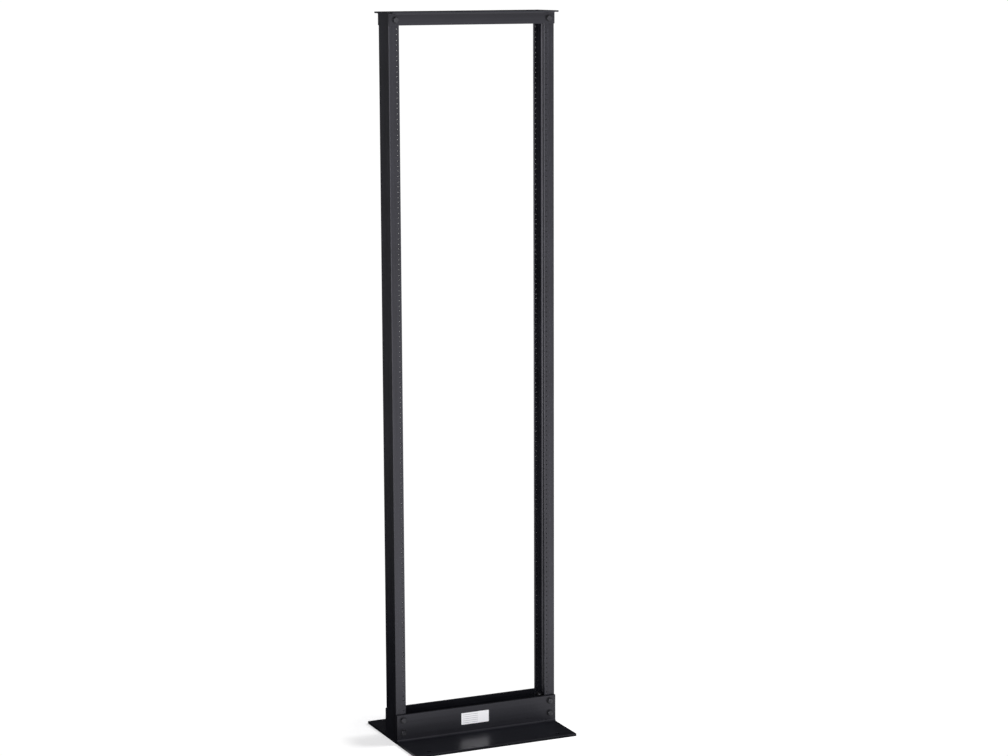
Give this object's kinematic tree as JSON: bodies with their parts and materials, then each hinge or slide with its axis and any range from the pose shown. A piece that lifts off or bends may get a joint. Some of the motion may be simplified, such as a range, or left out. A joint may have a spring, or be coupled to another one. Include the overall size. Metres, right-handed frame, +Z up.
{
  "type": "two post open frame rack",
  "caption": "Tall open frame of two black channel uprights with tapped equipment holes, joined by top angles and wide base angles.",
  "frame": {"origin": "on the floor at the middle of the base", "axes": "+Z up, +X to the right across the bay, -Y to the front, which equipment bolts to"},
  "size_m": [0.5152, 0.381, 2.1336],
  "materials": {
    "black_coated_frame": "black coated aluminium extrusion, fine satin texture",
    "joining_hardware": "black oxide steel bolts, nuts and washers",
    "label_paper": "white film label"
  },
  "bodies": {
    "root": {"left_upright": "black_coated_frame", "right_upright": "black_coated_frame", "front_base_angle": "black_coated_frame", "rear_base_angle": "black_coated_frame", "front_top_angle": "black_coated_frame", "rear_top_angle": "black_coated_frame"}
  },
  "joints": []
}
